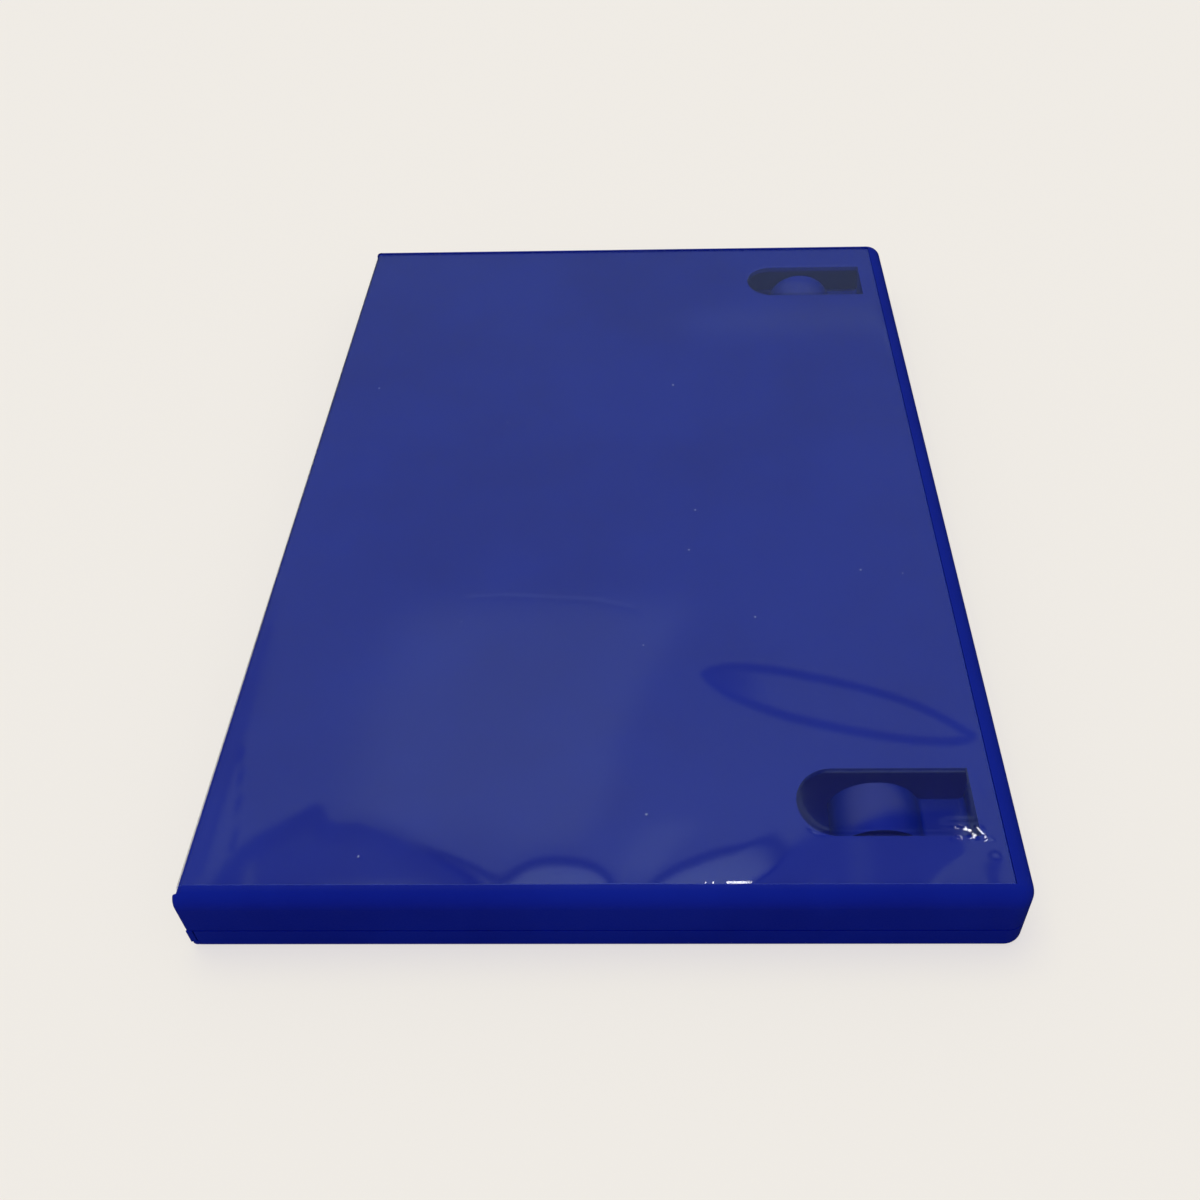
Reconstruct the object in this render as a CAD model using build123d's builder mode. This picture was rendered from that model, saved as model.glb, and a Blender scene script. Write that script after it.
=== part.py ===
"""Keep case for one game disc: a moulded cover, spine and tray on living hinges, in a clear film sleeve.

Frame: X runs from the spine to the opening edge, Y from the bottom edge to the top, Z from back to front.
The origin is the centre of the footprint, on the plane that the case lies on.
"""

import os
from math import acos, asin, cos, degrees, radians, sin

from build123d import *

# Driving dimensions of the case, in millimetres
case_width = 135.0  # spine to opening edge
case_height = 190.0  # bottom edge to top edge
case_depth = 14.5  # back to front
panel_wall = 1.2
rim_wall = 1.5
corner_radius = 3.5  # the two upright corners of the opening edge
front_edge_radius = 3.0
back_edge_radius = 0.9

# The seam between the cover's rim and the tray's rim
tray_depth = 5.1
seam_gap = 0.3

# The spine and its two hinges, each a round bead on the spine in a groove of the panel
spine_wall = 1.0
slit_gap = 0.2  # from the spine's inner face to the panels and the tray's rim
hinge_inset = 0.9  # from the film's bed to the hinge axis
hinge_bead_radius = 0.6
hinge_clearance = 0.08
hinge_shoulder = 0.3  # from the hinge axis to the end of the spine's flat
spine_end_gap = 0.15
wall_end_radius = 1.2  # the cover's rim where it ends at the spine

# The film sleeve and the shallow bed that it lies in
film_wall = 0.12
film_recess = 0.4
film_inset_end = 2.7  # from the top and bottom edges
film_inset_fore = 3.2  # from the opening edge
film_margin = 0.1  # from the film's edge to the edge of its bed

# The two windows in the cover, round towards the spine and straight towards the opening edge
window_length = 29.0
window_width = 12.8
window_to_fore = 7.0  # from the opening edge
window_offset = 77.3  # from the middle of the case

# The booklet clips under the windows: a riser, a run and a round hump that ends in the free tip
clip_wall = 1.0
clip_width = 9.0
clip_drop = 5.6  # from the panel's inner face to the middle of the run
clip_hump_radius = 7.5
clip_bend_radius = 1.6
clip_crown_to_riser = 15.6
clip_crown_gap = 0.15  # from the panel's inner face to the crown
clip_tip_turn = 78.0  # degrees from the crown to the tip

# The tray's lip, which stands inside the cover's rim, its catch beads and the thumb notch below them
lip_wall = 1.0
lip_gap = 0.35
lip_rise = 2.9  # above the seam
lip_from_spine = 5.0
catch_length = 14.0
catch_offset = 42.0
catch_radius = 0.45
catch_stand = 0.25  # how far the bead stands out of the lip
catch_rise = 1.5  # above the seam
catch_clearance = 0.25
thumb_notch_length = 26.0
thumb_notch_depth = 0.7
thumb_notch_floor = 2.4

# The disc that the case takes, and the tray's fences around it
disc_radius = 60.0
disc_wall = 1.2
disc_clearance = 1.0
hub_offset = 1.5  # hub axis from the middle of the case, towards the opening edge
fence_wall = 1.0
fence_rise = 6.0  # above the tray's floor
fence_span = 38.0  # degrees
fence_count = 4

# The hub: a hollow pedestal, a collar that centres the disc, and two sprung tongues with half a button each
pedestal_radius = 17.0
pedestal_wall = 1.2
pedestal_rise = 4.4  # above the tray's floor
pedestal_edge_radius = 0.6
collar_radius = 7.35
collar_wall = 1.15
collar_rise = 1.4  # above the pedestal
tongue_width = 4.6
tongue_wall = 1.0
tongue_gap = 0.3  # beside the tongue
tongue_root_gap = 0.1  # behind the bend at the tongue's root
tongue_reach = 12.2  # hub axis to the bend
button_gap = 0.3  # from the collar's bore to the button
button_split = 1.0  # between the two halves
button_rise = 2.3  # above the pedestal
button_wall = 1.1
button_edge_radius = 0.5
tooth_inset = 0.3  # the tooth's face behind the collar's
tooth_lip = 0.35  # the tooth's lip beyond the collar
tooth_lip_gap = 0.05  # from the disc's upper face to the lip

# Places worked out from those sizes
spine_x = -case_width / 2
fore_x = case_width / 2
half_height = case_height / 2
cover_rim_z = tray_depth + seam_gap / 2
tray_rim_z = tray_depth - seam_gap / 2
cover_bed_z = case_depth - film_recess
cover_inner_z = cover_bed_z - panel_wall
tray_bed_z = film_recess
tray_floor_z = tray_bed_z + panel_wall
spine_outer_x = spine_x + film_recess
spine_inner_x = spine_outer_x + spine_wall
panel_start_x = spine_inner_x + slit_gap
hinge_x = spine_outer_x + hinge_inset
cover_hinge_z = cover_bed_z - hinge_inset
tray_hinge_z = tray_bed_z + hinge_inset
hinge_groove_radius = hinge_bead_radius + hinge_clearance
inner_half_height = half_height - rim_wall
rim_middle_y = half_height - rim_wall / 2
spine_half_height = inner_half_height - spine_end_gap
lip_inset = rim_wall + lip_gap
lip_x = fore_x - lip_inset
lip_top_z = tray_depth + lip_rise
catch_x = lip_x + catch_stand - catch_radius
catch_z = tray_depth + catch_rise
film_fore_x = fore_x - film_inset_fore
film_half_height = half_height - film_inset_end
window_fore_x = fore_x - window_to_fore
seat_z = tray_floor_z + pedestal_rise
collar_bore = collar_radius - collar_wall
tongue_z = seat_z - pedestal_wall / 2
tongue_slot_width = tongue_width + 2 * tongue_gap
tongue_slot_reach = tongue_reach + tongue_wall / 2 + tongue_root_gap
button_radius = collar_bore - button_gap
beyond = 2 * case_depth  # takes a cut clear of the case


def case_outline(plane, start_x, inset):
    """The case's footprint from start_x to the opening edge, inset on the three rim sides."""
    end_x = fore_x - inset
    with BuildSketch(plane) as outline:
        with Locations(((start_x + end_x) / 2, 0)):
            Rectangle(end_x - start_x, case_height - 2 * inset)
        fillet(outline.vertices().group_by(Axis.X)[-1], corner_radius - inset)
    return outline.sketch


def film_area(plane, start_x, margin):
    """The part of a panel that the film covers, from start_x towards the opening edge."""
    end_x = film_fore_x - margin
    with BuildSketch(plane) as area:
        with Locations(((start_x + end_x) / 2, 0)):
            Rectangle(end_x - start_x, 2 * (film_half_height - margin))
    return area.sketch


def rim_edges(face):
    """The edges of a panel face along the three rim sides, without the one on the spine side."""
    return face.edges().sort_by(Axis.X)[1:]


def hinge_circle(axis_z, radius):
    """A hinge's round section, seen along its axis."""
    with BuildSketch(Plane.XZ) as section:
        with Locations((hinge_x, axis_z)):
            Circle(radius)
    return section.sketch


def catch_section(y, radius):
    """The round section of a catch on the opening edge."""
    with BuildSketch(Plane.XZ.offset(-y)) as section:
        with Locations((catch_x, catch_z)):
            Circle(radius)
    return section.sketch


def clip_profile(y):
    """A booklet clip seen from the bottom edge: down the riser, along the run, over the hump to the tip."""
    riser_x = window_fore_x + clip_wall / 2
    run_z = cover_inner_z - clip_drop
    rise = clip_drop - clip_crown_gap - clip_wall / 2
    turn = degrees(acos(1 - rise / (clip_bend_radius + clip_hump_radius)))
    hump_reach = (clip_bend_radius + clip_hump_radius) * sin(radians(turn))
    run_end_x = riser_x - clip_crown_to_riser + hump_reach
    with BuildSketch(Plane.XZ.offset(-y)) as profile:
        with BuildLine():
            FilletPolyline(
                (riser_x, cover_inner_z + panel_wall / 2),
                (riser_x, run_z),
                (run_end_x, run_z),
                radius=clip_bend_radius,
            )
            bend = JernArc((run_end_x, run_z), (-1, 0), clip_bend_radius, -turn)
            JernArc(bend @ 1, bend % 1, clip_hump_radius, turn + clip_tip_turn)
            offset(amount=clip_wall / 2, side=Side.BOTH, mode=Mode.REPLACE)
        make_face()
    return profile.sketch


# The room inside the cover, which leaves its panel and its rim
with BuildPart() as cover_room:
    extrude(
        case_outline(Plane.XY.offset(cover_rim_z - beyond), spine_x - beyond, rim_wall),
        amount=cover_inner_z - cover_rim_z + beyond,
    )
    fillet(rim_edges(cover_room.faces().sort_by(Axis.Z)[-1]), front_edge_radius - rim_wall)

# Front cover: a panel with a rim on three sides, two windows and a booklet clip under each
with BuildPart() as front_cover:
    extrude(case_outline(Plane.XY.offset(cover_rim_z), spine_x, 0), amount=case_depth - cover_rim_z)
    fillet(rim_edges(front_cover.faces().sort_by(Axis.Z)[-1]), front_edge_radius)
    add(cover_room.part, mode=Mode.SUBTRACT)

    # Between the ends of its rim, the panel stops short of the spine in the hinge's groove
    with BuildSketch(Plane.XY.offset(case_depth)):
        with Locations((panel_start_x, 0)):
            Rectangle(beyond, 2 * inner_half_height, align=(Align.MAX, Align.CENTER))
    extrude(amount=-(case_depth - cover_rim_z), mode=Mode.SUBTRACT)
    extrude(
        hinge_circle(cover_hinge_z, hinge_groove_radius),
        amount=inner_half_height,
        both=True,
        mode=Mode.SUBTRACT,
    )
    for rim_end in front_cover.faces().filter_by(Axis.X).group_by(Axis.X)[0]:
        outer_edges = rim_end.edges().filter_by(lambda edge: abs(edge.center().Y) > rim_middle_y)
        fillet(outer_edges, wall_end_radius)
    extrude(
        film_area(Plane.XY.offset(case_depth), spine_x - beyond, 0),
        amount=-film_recess,
        mode=Mode.SUBTRACT,
    )

    for side in (-1, 1):
        with BuildSketch(Plane.XY.offset(case_depth)):
            with Locations((window_fore_x, side * window_offset)):
                Rectangle(window_length - window_width / 2, window_width, align=(Align.MAX, Align.CENTER))
            with Locations((window_fore_x - window_length + window_width / 2, side * window_offset)):
                Circle(window_width / 2)
        extrude(amount=-(case_depth - cover_inner_z), mode=Mode.SUBTRACT)
        extrude(clip_profile(side * window_offset), amount=clip_width / 2, both=True)
        extrude(
            catch_section(side * catch_offset, catch_radius + catch_clearance),
            amount=catch_length / 2 + catch_clearance,
            both=True,
            mode=Mode.SUBTRACT,
        )

# Spine: a strip with a bead along each edge, full length below the seam, between the cover's rims above it
with BuildPart() as spine:
    with BuildSketch(Plane.XZ):
        with Locations((spine_outer_x, tray_hinge_z + hinge_shoulder)):
            Rectangle(
                spine_wall,
                cover_hinge_z - tray_hinge_z - 2 * hinge_shoulder,
                align=(Align.MIN, Align.MIN),
            )
    extrude(amount=spine_half_height, both=True)
    extrude(hinge_circle(cover_hinge_z, hinge_bead_radius), amount=spine_half_height, both=True)
    with BuildSketch(Plane.XZ):
        with Locations((spine_outer_x, tray_hinge_z + hinge_shoulder)):
            Rectangle(spine_wall, tray_rim_z - tray_hinge_z - hinge_shoulder, align=(Align.MIN, Align.MIN))
    extrude(amount=half_height, both=True)
    extrude(hinge_circle(tray_hinge_z, hinge_bead_radius), amount=half_height, both=True)

# Back tray: a panel with a low rim, the lip inside it, the disc's fences and the hub's fixed parts
with BuildPart() as back_tray:
    extrude(case_outline(Plane.XY, panel_start_x, 0), amount=tray_rim_z)
    fillet(rim_edges(back_tray.faces().sort_by(Axis.Z)[0]), back_edge_radius)
    extrude(
        case_outline(Plane.XY.offset(tray_floor_z), panel_start_x - beyond, rim_wall),
        amount=beyond,
        mode=Mode.SUBTRACT,
    )
    extrude(film_area(Plane.XY, spine_x - beyond, 0), amount=film_recess, mode=Mode.SUBTRACT)
    extrude(
        hinge_circle(tray_hinge_z, hinge_groove_radius),
        amount=half_height + beyond,
        both=True,
        mode=Mode.SUBTRACT,
    )

    # The lip, with the rim thickened inwards below the seam to carry it
    lip_start_x = panel_start_x + lip_from_spine
    lip_plane = Plane.XY.offset(tray_floor_z)
    lip_band = case_outline(lip_plane, lip_start_x, rim_wall)
    lip_ring = case_outline(lip_plane, lip_start_x, lip_inset)
    lip_room = case_outline(lip_plane, lip_start_x - beyond, lip_inset + lip_wall)
    extrude(lip_band - lip_room, amount=tray_rim_z - tray_floor_z)
    extrude(lip_ring - lip_room, amount=lip_top_z - tray_floor_z)
    for side in (-1, 1):
        extrude(catch_section(side * catch_offset, catch_radius), amount=catch_length / 2, both=True)

    # The thumb notch in the middle of the opening edge
    notch_radius = (thumb_notch_length**2 / 4 + thumb_notch_depth**2) / (2 * thumb_notch_depth)
    with BuildSketch(Plane.XY.offset(thumb_notch_floor)):
        with Locations((fore_x - thumb_notch_depth + notch_radius, 0)):
            Circle(notch_radius)
    extrude(amount=tray_rim_z - thumb_notch_floor, mode=Mode.SUBTRACT)

    # The fences, with finger room between them
    fence_radius = disc_radius + disc_clearance + fence_wall / 2
    for number in range(fence_count):
        middle = 360 / fence_count * (number + 0.5)
        with BuildSketch(Plane.XY.offset(tray_floor_z)):
            with BuildLine():
                CenterArc((hub_offset, 0), fence_radius, middle - fence_span / 2, fence_span)
                offset(amount=fence_wall / 2, side=Side.BOTH, mode=Mode.REPLACE)
            make_face()
        extrude(amount=fence_rise)

    # The pedestal, open at the back, with the collar on it and slots for the tongues
    with BuildSketch(Plane.XY.offset(tray_floor_z)):
        with Locations((hub_offset, 0)):
            Circle(pedestal_radius)
    extrude(amount=pedestal_rise)
    level_faces = back_tray.faces().filter_by(Plane.XY)
    seat_face = level_faces.group_by(lambda face: abs(face.center().Z - seat_z))[0][0]
    fillet(seat_face.edges(), pedestal_edge_radius)
    with BuildSketch():
        with Locations((hub_offset, 0)):
            Circle(pedestal_radius - pedestal_wall)
    extrude(amount=seat_z - pedestal_wall, mode=Mode.SUBTRACT)
    with BuildSketch(Plane.XY.offset(seat_z)):
        with Locations((hub_offset, 0)):
            Circle(collar_radius)
    extrude(amount=collar_rise)
    with BuildSketch(Plane.XY.offset(seat_z - pedestal_wall)):
        with Locations((hub_offset, 0)):
            Circle(collar_bore)
            Rectangle(2 * tongue_slot_reach, tongue_slot_width)
    extrude(amount=pedestal_wall + collar_rise, mode=Mode.SUBTRACT)


def hub_tongue(side):
    """Half of the push hub: a tongue bent at its root, half a button and a tooth that holds the disc."""
    bottom_z = tongue_z - tongue_wall / 2
    button_top_z = seat_z + button_rise
    with BuildPart() as tongue:
        with BuildSketch(Plane.XY.offset(bottom_z)) as half_button:
            with Locations((hub_offset, 0)):
                Circle(button_radius)
            with Locations((hub_offset + side * button_split / 2, 0)):
                Rectangle(
                    beyond,
                    beyond,
                    align=(Align.MAX if side > 0 else Align.MIN, Align.CENTER),
                    mode=Mode.SUBTRACT,
                )
        extrude(amount=button_top_z - bottom_z)
        fillet(tongue.faces().sort_by(Axis.Z)[-1].edges(), button_edge_radius)
        with BuildSketch(Plane.XY.offset(bottom_z)):
            offset(half_button.sketch, amount=-button_wall)
        extrude(amount=button_top_z - bottom_z - button_wall, mode=Mode.SUBTRACT)

        with BuildSketch(Plane.XY.offset(bottom_z)):
            with Locations((hub_offset + side * (button_radius - button_wall), 0)):
                Rectangle(
                    tongue_reach - button_radius + button_wall,
                    tongue_width,
                    align=(Align.MIN if side > 0 else Align.MAX, Align.CENTER),
                )
        extrude(amount=tongue_wall)
        with BuildSketch(Plane.XZ):
            with Locations((hub_offset + side * tongue_reach, tongue_z)):
                Circle(tongue_wall / 2)
        extrude(amount=tongue_width / 2, both=True)

        tooth_face = collar_radius - tooth_inset
        tooth_tip = collar_radius + tooth_lip
        lip_z = seat_z + disc_wall + tooth_lip_gap
        lip_reach = tooth_tip - tooth_face
        span = 2 * degrees(asin(tongue_width / 2 / tooth_tip))
        start = radians((0 if side > 0 else 180) - span / 2)
        start_plane = Plane(
            (hub_offset, 0, 0),
            x_dir=(cos(start), sin(start), 0),
            z_dir=(sin(start), -cos(start), 0),
        )
        with BuildSketch(start_plane):
            with BuildLine():
                Polyline(
                    (button_radius - button_wall / 2, tongue_z),
                    (tooth_face, tongue_z),
                    (tooth_face, lip_z),
                    (tooth_tip, lip_z + lip_reach / 2),
                    (button_radius - button_wall / 2, lip_z + lip_reach),
                    close=True,
                )
            make_face()
        revolve(axis=Axis((hub_offset, 0, 0), (0, 0, 1)), revolution_arc=span)
    return tongue.part


# The film sleeve: its three flats, which fold into each other at the hinges
with BuildPart() as front_film:
    extrude(film_area(Plane.XY.offset(cover_bed_z), panel_start_x, film_margin), amount=film_wall)

with BuildPart() as spine_film:
    with BuildSketch(Plane.XZ):
        with Locations((spine_outer_x, tray_hinge_z + hinge_shoulder)):
            Rectangle(
                film_wall,
                cover_hinge_z - tray_hinge_z - 2 * hinge_shoulder,
                align=(Align.MAX, Align.MIN),
            )
    extrude(amount=film_half_height - film_margin, both=True)

with BuildPart() as back_film:
    extrude(film_area(Plane.XY.offset(tray_bed_z), panel_start_x, film_margin), amount=-film_wall)

pieces = {
    "front_cover": front_cover.part,
    "spine": spine.part,
    "back_tray": back_tray.part,
    "hub_tongue_spine_side": hub_tongue(-1),
    "hub_tongue_fore_side": hub_tongue(1),
    "front_film": front_film.part,
    "spine_film": spine_film.part,
    "back_film": back_film.part,
}
os.makedirs("parts", exist_ok=True)
for name, piece in pieces.items():
    piece.label = name
    export_step(piece, f"parts/{name}.step")
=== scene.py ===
# %% [markdown]
# # A closed keep case in its clear sleeve
# The case is one blue moulding, folded round a spine, with a clear film sleeve welded over its outside. The
# moulding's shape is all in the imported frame, so this lesson dresses it: a camera where the photograph was
# taken, a soft studio, a satin blue plastic, the film, and a few flakes of dust. The film is thin, glossy
# and a little loose, and its waves and buckles are what the eye reads first.

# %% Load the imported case
import math

import bpy
import numpy as np
from mathutils import Matrix, Vector


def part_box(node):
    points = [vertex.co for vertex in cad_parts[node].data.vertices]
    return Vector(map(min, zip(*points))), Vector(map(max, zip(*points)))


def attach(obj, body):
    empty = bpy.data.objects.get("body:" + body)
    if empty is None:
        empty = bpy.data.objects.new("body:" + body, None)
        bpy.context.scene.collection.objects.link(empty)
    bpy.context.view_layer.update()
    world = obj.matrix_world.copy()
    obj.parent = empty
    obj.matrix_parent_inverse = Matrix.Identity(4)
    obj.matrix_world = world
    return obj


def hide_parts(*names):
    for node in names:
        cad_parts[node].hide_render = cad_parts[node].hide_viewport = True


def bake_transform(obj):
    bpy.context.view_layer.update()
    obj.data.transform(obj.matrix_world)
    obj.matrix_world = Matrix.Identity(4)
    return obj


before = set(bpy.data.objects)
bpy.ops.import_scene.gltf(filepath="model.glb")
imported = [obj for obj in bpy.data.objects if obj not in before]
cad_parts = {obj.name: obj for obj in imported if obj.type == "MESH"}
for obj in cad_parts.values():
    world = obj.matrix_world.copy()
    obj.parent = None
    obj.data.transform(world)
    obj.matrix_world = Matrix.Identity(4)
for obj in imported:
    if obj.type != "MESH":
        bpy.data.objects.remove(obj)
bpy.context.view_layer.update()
mm = 0.001

# %% [markdown]
# ## The viewpoint
# The case was photographed from above its bottom edge, with the lens tipped down by 42 degrees, and turned
# and rolled by under two. A camera could be aimed at a target, but a turn, a tip and a roll say the same
# thing in three plain angles. The photograph's middle isn't where the lens points, and the lens shift takes
# that up.

# %% Place the camera
picture_side = 1200  # pixels
lens_reach = 1220.5  # pixels, from the eye to the picture
lens_axis = (644.3, 479.1)  # pixels, the point of the picture that the lens looks along
eye = Vector((11.59, -190.35, 188.64)) * mm
turn, tip, roll = (math.radians(angle) for angle in (1.76, 90 - 42.23, -1.72))

camera = bpy.data.cameras.new("eye")
camera.sensor_width = 36
camera.lens = camera.sensor_width * lens_reach / picture_side
camera.shift_x = (picture_side / 2 - lens_axis[0]) / picture_side
camera.shift_y = (lens_axis[1] - picture_side / 2) / picture_side
camera.clip_start = 0.01
eye_object = bpy.data.objects.new("eye", camera)
facing = Matrix.Rotation(turn, 4, "Z") @ Matrix.Rotation(tip, 4, "X") @ Matrix.Rotation(roll, 4, "Z")
eye_object.matrix_world = Matrix.Translation(eye) @ facing
bpy.context.scene.collection.objects.link(eye_object)
bpy.context.scene.camera = eye_object
print("lens", round(camera.lens, 2), "mm, shift", round(camera.shift_x, 3), round(camera.shift_y, 3))

# %% [markdown]
# ## Helpers for node trees
# Each finish below is a small tree of nodes, which could also be wired by hand, link by link. A few helpers
# keep the trees readable: they add a node, do a sum, stretch a value or mix two colours. A socket that is
# given another node's output is linked to it, and any other value is set on the socket itself.

# %% Add a node, do a sum


def feed(tree, socket, value):
    """Gives a socket another node's output, or a plain value."""
    if isinstance(value, bpy.types.NodeSocket):
        tree.links.new(value, socket)
    else:
        socket.default_value = value


def put(tree, kind, settings=None, **sockets):
    """Adds a node; its sockets are named with _ for a space."""
    node = tree.nodes.new(kind)
    for name, value in (settings or {}).items():
        setattr(node, name, value)
    for name, value in sockets.items():
        feed(tree, node.inputs[name.replace("_", " ")], value)
    return node


def reckon(tree, operation, *terms):
    """The output of one Math node."""
    node = put(tree, "ShaderNodeMath", {"operation": operation})
    for socket, term in zip(node.inputs, terms):
        feed(tree, socket, term)
    return node.outputs[0]


def product(tree, first, *others):
    """Several values multiplied."""
    for other in others:
        first = reckon(tree, "MULTIPLY", first, other)
    return first


print("node helpers: feed, put, reckon, product")

# %% Stretch a value, mix two colours, start a finish


def spread(tree, value, low, high, to_low=0.0, to_high=1.0):
    """Stretches a value smoothly from one range to another, and holds it there."""
    ends = {"From_Min": low, "From_Max": high, "To_Min": to_low, "To_Max": to_high}
    node = put(tree, "ShaderNodeMapRange", {"interpolation_type": "SMOOTHSTEP"}, Value=value, **ends)
    return node.outputs["Result"]


def mixed_color(tree, share, first, second):
    """A colour between two others, all of the second where the share is 1."""
    node = put(tree, "ShaderNodeMix", {"data_type": "RGBA"}, Factor=share)
    feed(tree, node.inputs[6], first)
    feed(tree, node.inputs[7], second)
    return node.outputs[2]


def new_finish(name):
    """An empty node material, with its tree and its output node."""
    finish = bpy.data.materials.new(name)
    finish.use_nodes = True
    finish.node_tree.nodes.clear()
    return finish, finish.node_tree, finish.node_tree.nodes.new("ShaderNodeOutputMaterial")


print("finish helpers: spread, mixed_color, new_finish")

# %% Shaders by kind of ray


def seen_directly(tree):
    """1 for a ray that ends in the picture: straight from the eye, or by way of gloss or glass."""
    rays = tree.nodes.new("ShaderNodeLightPath").outputs
    by_gloss = reckon(tree, "MAXIMUM", rays["Is Glossy Ray"], rays["Is Transmission Ray"])
    return reckon(tree, "MAXIMUM", rays["Is Camera Ray"], by_gloss)


def either(tree, share, first, second):
    """A mix of two shaders, all of the second where the share is 1."""
    mix = put(tree, "ShaderNodeMixShader", Fac=share)
    feed(tree, mix.inputs[1], first.outputs[0])
    feed(tree, mix.inputs[2], second.outputs[0])
    return mix


print("shader helpers: seen_directly, either")

# %% [markdown]
# ## A plain studio
# A glossy film shows its surroundings, so the studio matters as much as the film. The table and the
# backdrop are pale paper. An even fill and a soft overhead light, from a little to the left, give the level
# at which a colour renders as it is written. The real cover lets some blue light through, which glows
# inside the case. Light under the plastic's skin could show that, but it is slow and noisy. So the overhead
# light has two parts, and the cover doesn't shade the second one, which is blue. The photograph's shadow is
# only a breath darker than its paper: the table glows for most of its shade and takes the rest from the
# light.

# %% Fill and backdrop
paper = (0.871, 0.838, 0.791, 1)
white = (1, 1, 1, 1)
fill_strength = 0.58
world = bpy.data.worlds.new("studio")
bpy.context.scene.world = world
world.use_nodes = True
tree = world.node_tree
tree.nodes.clear()
fill = put(tree, "ShaderNodeBackground", Color=white, Strength=fill_strength)
backdrop = put(tree, "ShaderNodeBackground", Color=paper, Strength=1.0)
surround = either(tree, seen_directly(tree), fill, backdrop)
feed(tree, tree.nodes.new("ShaderNodeOutputWorld").inputs["Surface"], surround.outputs[0])
bpy.context.scene.view_settings.view_transform = "Standard"
print("fill", fill_strength, "paper", paper[:3])

# %% Overhead light in two parts
overhead_strength = 1.35
overhead_width = 40  # degrees, which soften the shadow's edge
overhead_aside = -10  # degrees, from the left
through_share = 0.6  # of the overhead light's blue
from_far_side, from_near_side = -12, 25  # degrees, how each part is tipped


def overhead_light(name, color, tipped):
    """A soft sun from above and a little to the left, which glossy surfaces don't mirror."""
    light = bpy.data.lights.new(name, "SUN")
    light.energy = overhead_strength
    light.color = color
    light.angle = math.radians(overhead_width)
    light_object = bpy.data.objects.new(name, light)
    light_object.rotation_euler = (math.radians(tipped), math.radians(overhead_aside), 0)
    light_object.visible_glossy = False
    bpy.context.scene.collection.objects.link(light_object)
    return light_object


overhead_light("overhead", (1, 1, 1 - through_share), from_far_side)
through_cover = overhead_light("through_cover", (0, 0, through_share), from_near_side)
lets_through = bpy.data.collections.new("lets_blue_through")
lets_through.objects.link(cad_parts["front_cover"])
lets_through.collection_objects[0].light_linking.link_state = "EXCLUDE"
through_cover.light_linking.blocker_collection = lets_through
print("overhead", overhead_strength, "with", through_share, "of its blue through the cover")

# %% Table
table_reach = 4.0
table_glow = 0.75  # the part of the table's shade that no shadow reaches
dim_paper = (0.5, 0.49, 0.47, 1)  # what the table sends back up at the case


def stage_piece(name, points, faces, finish):
    """A piece of the studio, which isn't part of the case."""
    mesh = bpy.data.meshes.new(name)
    mesh.from_pydata(points, [], faces)
    mesh.materials.append(finish)
    piece = bpy.data.objects.new(name, mesh)
    bpy.context.scene.collection.objects.link(piece)
    return piece


table_paper, tree, output = new_finish("table_paper")
glow = put(tree, "ShaderNodeEmission", Color=paper, Strength=1.0)
lit_paper = put(tree, "ShaderNodeBsdfDiffuse", Color=paper)
bounce = put(tree, "ShaderNodeBsdfDiffuse", Color=dim_paper)
pictured = either(tree, table_glow, lit_paper, glow)
table_shade = either(tree, seen_directly(tree), bounce, pictured)
feed(tree, output.inputs["Surface"], table_shade.outputs[0])
square = [(-1, -1), (1, -1), (1, 1), (-1, 1)]
stage_piece("table", [(x * table_reach, y * table_reach, 0) for x, y in square], [(0, 1, 2, 3)], table_paper)
print("table", 2 * table_reach, "m square")

# %% [markdown]
# ## What the film reflects
# Seen from this height the film mirrors the studio's far wall, and the photograph shows that wall as a grey
# veil with paler patches. Where a bend tips the film, it mirrors what is higher up: a dark rail, then a
# bright zone. Lamps and panels could be set up for that. A tent of grey cloth round the table does the
# same, and only glossy rays see it, so it takes no light from the case. Its shade is written by the angle
# above the table, because that angle is what a tipped piece of film changes. The side behind the camera is
# dim, and a dark floor keeps the pale table out of the case's gloss. One small lamp gives the white glints.

# %% Shades of the tent
tent_reach = 3.5
tent_top = 75  # degrees above the table, seen from the case
tent_height = tent_reach * math.tan(math.radians(tent_top))
tent_tint = (0.82, 1.05, 1.2, 1)
tent_shades = [  # degrees above the table, and shade
    (0, 0.05),
    (31, 0.20),
    (40, 0.25),
    (50, 0.265),
    (61.3, 0.28),
    (61.8, 0.05),
    (62.6, 0.05),
    (63.5, 0.46),
    (67.5, 0.46),
    (70.0, 0.06),
]
pale_patches = [  # from and to, sideways and in degrees above the table, each with its soft edges
    ((-0.46, -0.33, -0.055, -0.01), (47.6, 49.5, 57.5, 61.0)),
    ((0.04, 0.075, 0.12, 0.145), (56.8, 58.0, 60.6, 61.4)),
    ((-0.36, -0.2, 0.0, 0.1), (33.6, 34.4, 34.7, 35.6)),
]
print("tent", round(tent_height, 2), "m high,", len(tent_shades), "shades,", len(pale_patches), "patches")

# %% Angles on the cloth
straight_up = 90.0  # degrees
patch_lean, lean_from = 0.017, 52.0  # the patches lean aside by this much for each degree above that angle

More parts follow.
